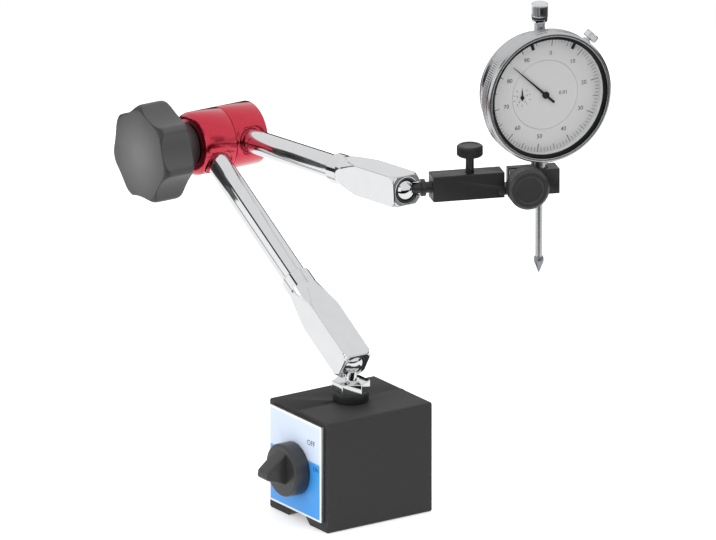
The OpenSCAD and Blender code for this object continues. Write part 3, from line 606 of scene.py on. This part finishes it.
# A turned disc, and a bar whose outline rises from the foot to the top and falls to a rounded nose
def makeSwitch():
    plate, wide = switch["plate"], switch["radius"]
    back = plate + switch["gap"]
    front = back + switch["thick"]
    profile = rounded([(0, back, 0), (wide, back, switch["rear"]), (wide, front, switch["rim"]), (0, front, 0)],
                      closed=False)
    turned("switchDisc", switchPlace, profile, "black_plastic", "switch", ["switch_knob"])
    reach, level, tip = switch["tip"]
    nose = [(plate + reach + tip * ahead, level + tip * up, tip * soft) for ahead, up, soft in switch["nose"]]
    foot, drop, top = plate + switch["foot"], switch["drop"], switch["top"]
    outline = rounded([(foot, drop, switch["heel"]), (plate + switch["thick"], drop, switch["soft"]), *nose,
                       (plate + switch["shoulder"], top, switch["soft"]), (foot, top, switch["heel"])])
    barred("switchGrip", switchPlace, outline, switch["half"], switch["ends"], "black_plastic", "switch",
           ["switch_knob"])


# The words on the plate
def makeMarks():
    for name, word, side, up, size in plateMarks:
        numbers(name, basePlace, [(word, side, up)], size, switch["plate"], bodyOf("front_plate"))


makeSwitch()
makeMarks()


# Star knob: a turned disc with a round rim, milled to lobes and hollows that are arcs that touch
star = {
    "lobes": 7, "orbit": 22.0, "lobeRadius": 3.0, "hollowRadius": 24.0, "firstLobe": 93,  # mm, degrees
    "front": -37.7, "back": -20.5, "rim": 25.3, "edge": 4.0, "soft": 1.3,
    "boss": 11.0, "bossEnd": -9.2, "bossEdge": 0.5, "bore": 6.05, "boreEnd": -28.5,
    "around": 560, "bends": 19, "sharp": 50,  # points round it and over an edge, degrees
}


# Distance from the axis to the outline: the far side of a lobe's circle or the near side of a hollow's
def starRadius(turn):
    half = math.pi / star["lobes"]
    span = star["lobeRadius"] + star["hollowRadius"]
    hollow = star["orbit"] * math.cos(half) + math.sqrt(span ** 2 - (star["orbit"] * math.sin(half)) ** 2)
    off = np.abs((turn + half) % (2 * half) - half)
    lobeSide = star["lobeRadius"] ** 2 - (star["orbit"] * np.sin(off)) ** 2
    lobe = star["orbit"] * np.cos(off) + np.sqrt(np.maximum(lobeSide, 0))
    hollowSide = star["hollowRadius"] ** 2 - (hollow * np.sin(half - off)) ** 2
    dip = hollow * np.cos(half - off) - np.sqrt(np.maximum(hollowSide, 0))
    toHollow = np.array([hollow * math.cos(half), hollow * math.sin(half)]) - [star["orbit"], 0]
    touch = np.array([star["orbit"], 0]) + unit(toHollow) * star["lobeRadius"]
    return np.where(off < math.atan2(touch[1], touch[0]), lobe, dip)


# The smaller of the disc's radius and the outline's, with the crease between them rounded
def makeStar():
    turn = np.linspace(0, 2 * np.pi, star["around"], endpoint=False)[:, None]
    outline = starRadius(turn - math.radians(star["firstLobe"]))
    bend = np.radians(np.linspace(0, 90, star["bends"]))
    flat = star["rim"] - star["edge"]
    disc = flat + star["edge"] * np.concatenate([np.sin(bend), np.sin(bend[::-1])])[None, :]
    drop = star["edge"] * (1 - np.cos(bend))
    along = np.concatenate([[star["front"]], star["front"] + drop, star["back"] - drop[::-1]])[None, :]
    radius = (disc + outline - np.sqrt((disc - outline) ** 2 + star["soft"] ** 2)) / 2
    radius = np.concatenate([0 * turn, radius], axis=1)
    neck = np.array([[star["boss"], star["back"]],
                     [star["boss"], star["bossEnd"] - star["bossEdge"]],
                     [star["boss"] - star["bossEdge"], star["bossEnd"]],
                     [star["bore"], star["bossEnd"]],
                     [star["bore"], star["boreEnd"]]])
    radius = np.concatenate([radius, neck[:, 0] + 0 * turn, 0 * turn], axis=1)
    along = np.concatenate([along, neck[None, :, 1], [[star["boreEnd"]]]], axis=1)
    points = inFrame(hubPlace, -radius * np.cos(turn), radius * np.sin(turn), along)
    # The star knob's finish carries painted highlight and painted shade
    addPiece("starKnob", points, gridFaces(*radius.shape, True, False), "black_plastic", "locking_knob",
             ["star_knob"], star["sharp"], rubbedAbs())


makeStar()


# Thumbscrew, clamp knob and bezel screw: turned, with ribs for the fingers. Each profile is a list of corners
# (radius, along, rounding) in mm from the joint's pivot

thumb = {
    "stem": 2.0, "foot": -1.85, "head": 6.25, "low": 14.25, "high": 19.65,
    "chamfer": 0.8, "chamferRun": 0.7, "dishRim": 2.0, "dish": 0.3, "ribs": 54, "ribDepth": 0.28, "ribEnd": 0.5,
    "around": 432,
}


# A stem, and a chamfered head with a dish in its top
def makeThumbscrew():
    stem, foot, head, low, high = (thumb[key] for key in ("stem", "foot", "head", "low", "high"))
    chamfer, chamferRun, dish = thumb["chamfer"], thumb["chamferRun"], thumb["dish"]
    lip = head - thumb["dishRim"]
    profile = rounded([(0, foot, 0), (stem, foot, 0.2), (stem, low, 0.2), (head - chamfer, low, 0.3),
                       *run(head, low + chamferRun, high - chamferRun, 12),
                       (head - chamfer, high, 0.3), (lip, high, 0.2), (lip - dish, high - dish, 0.2),
                       (0, high - dish, 0)], closed=False)
    grip = ribs(thumb["ribs"], thumb["ribDepth"], low + thumb["ribEnd"], high - thumb["ribEnd"], head)
    turned("thumbscrew", thumbPlace, profile, "black_oxide", "thumbscrew", ["fine_screw"], thumb["around"],
           ripple=grip)


knob = {
    "boss": 6.0, "start": 5.3, "step": 7.8, "radius": 10.0, "end": 16.3, "bore": 2.52, "depth": 11.75,
    "heel": 0.6, "heelRun": 0.5, "crown": 1.3, "dishRim": 3.2, "dish": 0.5,
    "ribs": 60, "ribDepth": 0.3, "ribStart": 0.5, "ribEnd": 1.5, "around": 480,
}


# A bored boss, and a wider head with a dish in its face
def makeClampKnob():
    boss, start, step, wide, end = (knob[key] for key in ("boss", "start", "step", "radius", "end"))
    bore, depth, crown, dish = (knob[key] for key in ("bore", "depth", "crown", "dish"))
    lip = wide - knob["dishRim"]
    profile = rounded([(0, depth, 0), (bore, depth, 0.1), (bore, start, 0.2), (boss, start, 0.3),
                       (boss, step, 0.3), (wide - knob["heel"], step, 0.3),
                       *run(wide, step + knob["heelRun"], end - crown, 14),
                       (wide - crown, end, 0.5), (lip, end, 0.3), (lip - dish, end - dish, 0.3),
                       (0, end - dish, 0)], closed=False)
    grip = ribs(knob["ribs"], knob["ribDepth"], step + knob["ribStart"], end - knob["ribEnd"], wide)
    turned("clampKnob", clampKnobPlace, profile, "black_plastic", "clamp_handle", ["clamp_knob"], knob["around"],
           ripple=grip)


lock = {
    "stem": 1.2, "start": 25.7, "head": 3.6, "low": 34.1, "high": 37.7, "heel": 0.4, "crown": 0.5,
    "ribs": 36, "ribDepth": 0.18, "ribStart": 0.3, "ribEnd": 0.4, "around": 288,
}


# A thin stem and a chamfered head
def makeBezelScrew():
    stem, start, head, low, high = (lock[key] for key in ("stem", "start", "head", "low", "high"))
    heel, crown = lock["heel"], lock["crown"]
    profile = rounded([(0, start, 0), (stem, start, 0.1), (stem, low, 0.1), (head - heel, low, 0.1),
                       *run(head, low + heel, high - crown, 10),
                       (head - crown, high, 0.2), (0, high, 0)], closed=False)
    grip = ribs(lock["ribs"], lock["ribDepth"], low + lock["ribStart"], high - lock["ribEnd"], head)
    turned("bezelScrew", bezelScrewPlace, profile, "chrome", "bezel_lock", ["bezel_screw"], lock["around"],
           ripple=grip)


makeThumbscrew()
makeClampKnob()
makeBezelScrew()
print("knobs turned")


# Dial: bezel with a coined band, dust cap, printed scale and sub-dial, in mm from the dial's middle

bezel = {
    "bore": 30.62, "rim": 32.3, "back": 4.4, "front": 12.4, "lip": 30.2, "glass": 11.9,
    "heel": 0.4, "band": (0.5, 4.4), "groove": (4.8, 5.0, 5.5, 5.7), "grooveDepth": 0.35,  # along from the back
    "brow": (0.8, 0.9),  # in and along
    "ribs": 180, "ribDepth": 0.16, "ribSpan": (0.6, 4.3), "around": 1080,
}


# A ring: the coined band at the back, a groove, and a rounded front with a lip over the glass
def makeBezel():
    bore, rim, back, front = (bezel[key] for key in ("bore", "rim", "back", "front"))
    lip, glass = bezel["lip"], bezel["glass"]
    floor = rim - bezel["grooveDepth"]
    groove = [(radius, back + along, 0.1) for radius, along in zip((rim, floor, floor, rim), bezel["groove"])]
    browIn, browAlong = bezel["brow"]
    profile = rounded([(bore, back, 0.1), (rim - bezel["heel"], back, 0.15),
                       *run(rim, back + bezel["band"][0], back + bezel["band"][1], 12), *groove,
                       (rim, front - browAlong, 0.5), (rim - browIn, front, 0.5),
                       (lip, front, 0.25), (lip, glass, 0.05), (bore, glass, 0.05)])
    grip = ribs(bezel["ribs"], bezel["ribDepth"], back + bezel["ribSpan"][0], back + bezel["ribSpan"][1], rim)
    turned("bezelRing", dialPlace, profile, "satin_chrome", "bezel_ring", ["bezel"], bezel["around"], closed=True,
           ripple=grip)


cap = {
    "radius": 3.9, "foot": 34.5, "top": 44.0, "bore": 1.85, "lid": 43.0, "grooveLow": 36.2, "grooveHigh": 37.4,
    "collar": 0.2, "groove": 0.6, "crown": 0.8, "ringInner": 0.62, "ringOuter": 0.12, "ringGap": 0.02,
    "ribs": 32, "ribDepth": 0.2, "ribStart": 0.3, "ribEnd": 0.9, "around": 288,
}


# A ribbed cap over a collar, with a dark ring nearly filling the groove between them as painted shade for the groove
def makeCap():
    wide, foot, top, bore, lid = (cap[key] for key in ("radius", "foot", "top", "bore", "lid"))
    low, high, crown = cap["grooveLow"], cap["grooveHigh"], cap["crown"]
    collar, floor = wide - cap["collar"], wide - cap["groove"]
    profile = rounded([(0, lid, 0), (bore, lid, 0.1), (bore, foot, 0.1), (collar, foot, 0.2),
                       (collar, low, 0.1), (floor, low, 0.05), (floor, high, 0.05),
                       *run(wide, high, top - crown, 12), (wide - crown, top, 0.4), (0, top, 0)], closed=False)
    grip = ribs(cap["ribs"], cap["ribDepth"], high + cap["ribStart"], top - cap["ribEnd"], wide)
    turned("dustCap", stemPlace, profile, "chrome", "indicator", ["dust_cap"], cap["around"], ripple=grip)
    # Painted shade: a dark ring nearly filling the groove, for the groove's shadow
    inner, outer = wide - cap["ringInner"], wide - cap["ringOuter"]
    low, high = low + cap["ringGap"], high - cap["ringGap"]
    profile = rounded([(inner, low, 0.05), (outer, low, 0.2), (outer, high, 0.2), (inner, high, 0.05)])
    turned("capGrooveShade", stemPlace, profile, "seal", "indicator", closed=True)


dialFace = 6.5  # mm along the dial's axis to the print
scale = {
    "divisions": 100, "turn": 8,  # degrees from the top to 0
    "tens": (24.2, 0.32), "fives": (25.2, 0.24), "ones": (26.2, 0.18),  # a tick's inner end and width
    "outer": 28.2, "numbersAt": 20.6, "size": 2.9,
}
subDial = {
    "divisions": 10, "middle": -12.0, "fives": 3.4, "ones": 3.7, "outer": 4.7, "width": 0.2,
    "numbersAt": 2.7, "size": 1.3,
}
division = {"word": "0.01", "side": 9.5, "size": 2.6}


# Ticks at equal steps round the turning ring and, the other way, round the small hand, with their numbers
def makeScale():
    step = 360 / scale["divisions"]
    marks = []
    for k in range(scale["divisions"]):
        inner, width = scale["tens" if k % 10 == 0 else "fives" if k % 5 == 0 else "ones"]
        marks.append(tick(scale["turn"] + step * k, inner, scale["outer"], width))
    printed("scaleTicks", dialPlace, marks, dialFace, "bezel_ring")
    words = []
    for k in range(0, scale["divisions"], 10):
        turn = math.radians(scale["turn"] + step * k)
        words.append((str(k), scale["numbersAt"] * math.sin(turn), scale["numbersAt"] * math.cos(turn)))
    numbers("scaleNumbers", dialPlace, words, scale["size"], dialFace, "bezel_ring")
    step = 360 / subDial["divisions"]
    middle, reach = subDial["middle"], subDial["numbersAt"]
    marks = [tick(step * k, subDial["ones" if k % 5 else "fives"], subDial["outer"], subDial["width"], (middle, 0))
             for k in range(subDial["divisions"])]
    printed("subTicks", dialPlace, marks, dialFace, "indicator")
    turns = [(k, math.radians(-step * k)) for k in range(0, subDial["divisions"], 2)]
    words = [(str(k), middle + reach * math.sin(turn), reach * math.cos(turn)) for k, turn in turns]
    numbers("subNumbers", dialPlace, words, subDial["size"], dialFace, "indicator")
    words = [(division["word"], division["side"], 0)]
    numbers("division", dialPlace, words, division["size"], dialFace, "indicator")


makeBezel()
makeCap()
makeScale()
print("dial dressed")


# Stage: a pale floor that fills the view, soft lamps and the photograph's camera

stage = {
    "floorRadius": 0.8,  # metres
    "floorSides": 96,
    "floorColour": "#f4f4f4",
    "floorLift": 0.35,  # light of the floor itself, added for the eye
    "floorShine": 1.05,  # how bright the floor looks in the metal
    "skyLight": 0.6,
    "skyShine": 0.84,  # how bright the room's light half looks in the metal
    "skyColour": "#ffffff",
    "roomColour": "#1d1e20",  # the dark room past the table, seen only in metal
    "roomTop": 0.1,  # height of the dark room's edge above the horizon at the left, as a sine
    "roomRise": 0.1,  # how much higher that edge stands at the back
    "roomSoft": 0.05,  # over which that edge fades
    "roomSide": (-0.636, 0.772, 0.0),  # toward the middle of the dark half of the room
    "sideSoft": 0.04,
    "roomFront": -0.68,  # past this sine toward the front the room is dark behind its lamp
    "tableEdge": 0.3,  # metres from the middle to the table's edge on the camera's side
    "tableSoft": 0.02,
    "cameraSide": (0.827, -0.562, 0.0),  # level direction toward the camera
    "cameraSpread": 0.3,  # cosine of the angle round it in which the horizon is dark
    "spreadSoft": 0.1,
    "horizonTop": 0.06,  # top of that dark horizon, as a sine
    "horizonSoft": 0.04,
    "lamps": [
        # name, middle, where it points, width and height in metres, how bright it looks, seen in the metal
        ("overheadSoftbox", (0.25, 0.35, 1.25), (0, 0, -1), (2.5, 3.1), 0.95, False),
        ("frontSoftbox", (-0.05, -1.5, 0.575), (0, 1, 0), (3.1, 1.25), 1.05, True),
    ],
}


# A disc of diffuse paper that gives the eye a little light of its own, and looks even in the metal up to the
# table's edge
def makeFloor():
    turn = np.linspace(0, 2 * np.pi, stage["floorSides"], endpoint=False)
    ring = np.stack([np.cos(turn), np.sin(turn), 0 * turn], axis=1) * stage["floorRadius"]
    mesh = bpy.data.meshes.new("floor")
    mesh.from_pydata(ring.tolist(), [], [list(range(len(ring)))])
    floor = bpy.data.objects.new("floor", mesh)
    bpy.context.scene.collection.objects.link(floor)
    material = bpy.data.materials.new("palePaper")
    material.use_nodes = True
    tree = material.node_tree
    tree.nodes.clear()
    paper = addNode(tree, "ShaderNodeBsdfDiffuse", None, {"Color": linearColour(stage["floorColour"])})
    light = addNode(tree, "ShaderNodeLightPath")
    lift = compute(tree, "MULTIPLY", light.outputs["Is Camera Ray"], stage["floorLift"])
    glow = addNode(tree, "ShaderNodeEmission", None, {"Strength": lift})
    both = addNode(tree, "ShaderNodeAddShader", None, {0: paper.outputs["BSDF"], 1: glow.outputs["Emission"]})
    coords = addNode(tree, "ShaderNodeTexCoord")
    reach = measure(tree, "DOT_PRODUCT", coords.outputs["Object"], stage["cameraSide"])
    edge = stage["tableEdge"]
    onTable = ramp(tree, reach, edge + stage["tableSoft"], edge, stage["floorShine"])
    shine = addNode(tree, "ShaderNodeEmission", None, {"Strength": onTable})
    seen = addNode(tree, "ShaderNodeMixShader", None,
                   {0: light.outputs["Is Glossy Ray"], 1: both.outputs["Shader"], 2: shine.outputs["Emission"]})
    addNode(tree, "ShaderNodeOutputMaterial", None, {"Surface": seen.outputs["Shader"]})
    mesh.materials.append(material)


# White to the eye; in the metal dark below a rising edge on the room's side, behind the front lamp, and along
# the horizon behind the camera
def makeSky():
    world = bpy.data.worlds.new("studio")
    bpy.context.scene.world = world
    world.use_nodes = True
    tree = world.node_tree
    tree.nodes.clear()
    light = addNode(tree, "ShaderNodeLightPath")
    glossy = light.outputs["Is Glossy Ray"]
    way = addNode(tree, "ShaderNodeTexCoord").outputs["Generated"]
    split = addNode(tree, "ShaderNodeSeparateXYZ", None, {"Vector": way})
    top = stage["roomTop"]
    rise = addNode(tree, "ShaderNodeMapRange", None,
                   {"Value": split.outputs["Y"], "To Min": top, "To Max": top + stage["roomRise"]})
    below = compute(tree, "SUBTRACT", rise.outputs["Result"], split.outputs["Z"])
    low = ramp(tree, below, 0.0, stage["roomSoft"])
    side = ramp(tree, measure(tree, "DOT_PRODUCT", way, stage["roomSide"]), 0.0, stage["sideSoft"])
    left = compute(tree, "MULTIPLY", low, side)
    front = compute(tree, "LESS_THAN", split.outputs["Y"], stage["roomFront"])
    spread = stage["cameraSpread"]
    eye = ramp(tree, measure(tree, "DOT_PRODUCT", way, stage["cameraSide"]), spread, spread + stage["spreadSoft"])
    horizon = ramp(tree, split.outputs["Z"], stage["horizonTop"], stage["horizonTop"] - stage["horizonSoft"], eye)
    dark = compute(tree, "MAXIMUM", compute(tree, "MAXIMUM", left, front), horizon)
    tint = mixed(tree, compute(tree, "MULTIPLY", dark, glossy), stage["skyColour"], stage["roomColour"])
    shine = addNode(tree, "ShaderNodeMix", {"data_type": "FLOAT"},
                    {"Factor": glossy, "A": stage["skyLight"], "B": stage["skyShine"]})
    level = addNode(tree, "ShaderNodeMix", {"data_type": "FLOAT"},
                    {"Factor": light.outputs["Is Camera Ray"], "A": shine.outputs["Result"], "B": 1.0})
    sky = addNode(tree, "ShaderNodeBackground", None, {"Color": tint, "Strength": level.outputs["Result"]})
    addNode(tree, "ShaderNodeOutputWorld", None, {"Surface": sky.outputs["Background"]})


# An area lamp's power is how bright it looks times pi times its area
def makeLamps():
    for name, place, aim, size, level, seen in stage["lamps"]:
        lamp = bpy.data.lights.new(name, "AREA")
        lamp.shape = "RECTANGLE"
        lamp.size, lamp.size_y = size
        lamp.energy = level * math.pi * size[0] * size[1]
        lampObject = bpy.data.objects.new(name, lamp)
        lampObject.location = place
        lampObject.visible_glossy = seen
        lampObject.rotation_euler = Vector(aim).to_track_quat("-Z", "Y").to_euler()
        bpy.context.scene.collection.objects.link(lampObject)


camera = {
    "aim": (0.0, 0.0041, 0.1195),  # metres, at the middle of the picture
    "toward": (0.7866, -0.5346, 0.3090),  # from the aim to the camera
    "distance": 8.0,
    "clipEnd": 40.0,
    "lens": 844.0,  # mm
    "sensor": 36.0,
}


# The camera stands at its distance from the aim and looks back at it
def makeCamera():
    data = bpy.data.cameras.new("camera")
    data.lens = camera["lens"]
    data.sensor_width = camera["sensor"]
    data.clip_end = camera["clipEnd"]
    eye = bpy.data.objects.new("camera", data)
    toward = Vector(camera["toward"]).normalized()
    eye.location = Vector(camera["aim"]) + toward * camera["distance"]
    eye.rotation_euler = (-toward).to_track_quat("-Z", "Y").to_euler()
    bpy.context.scene.collection.objects.link(eye)
    bpy.context.scene.camera = eye


makeFloor()
makeSky()
makeLamps()
makeCamera()
bpy.context.scene.view_settings.view_transform = "Standard"
print("stage set")
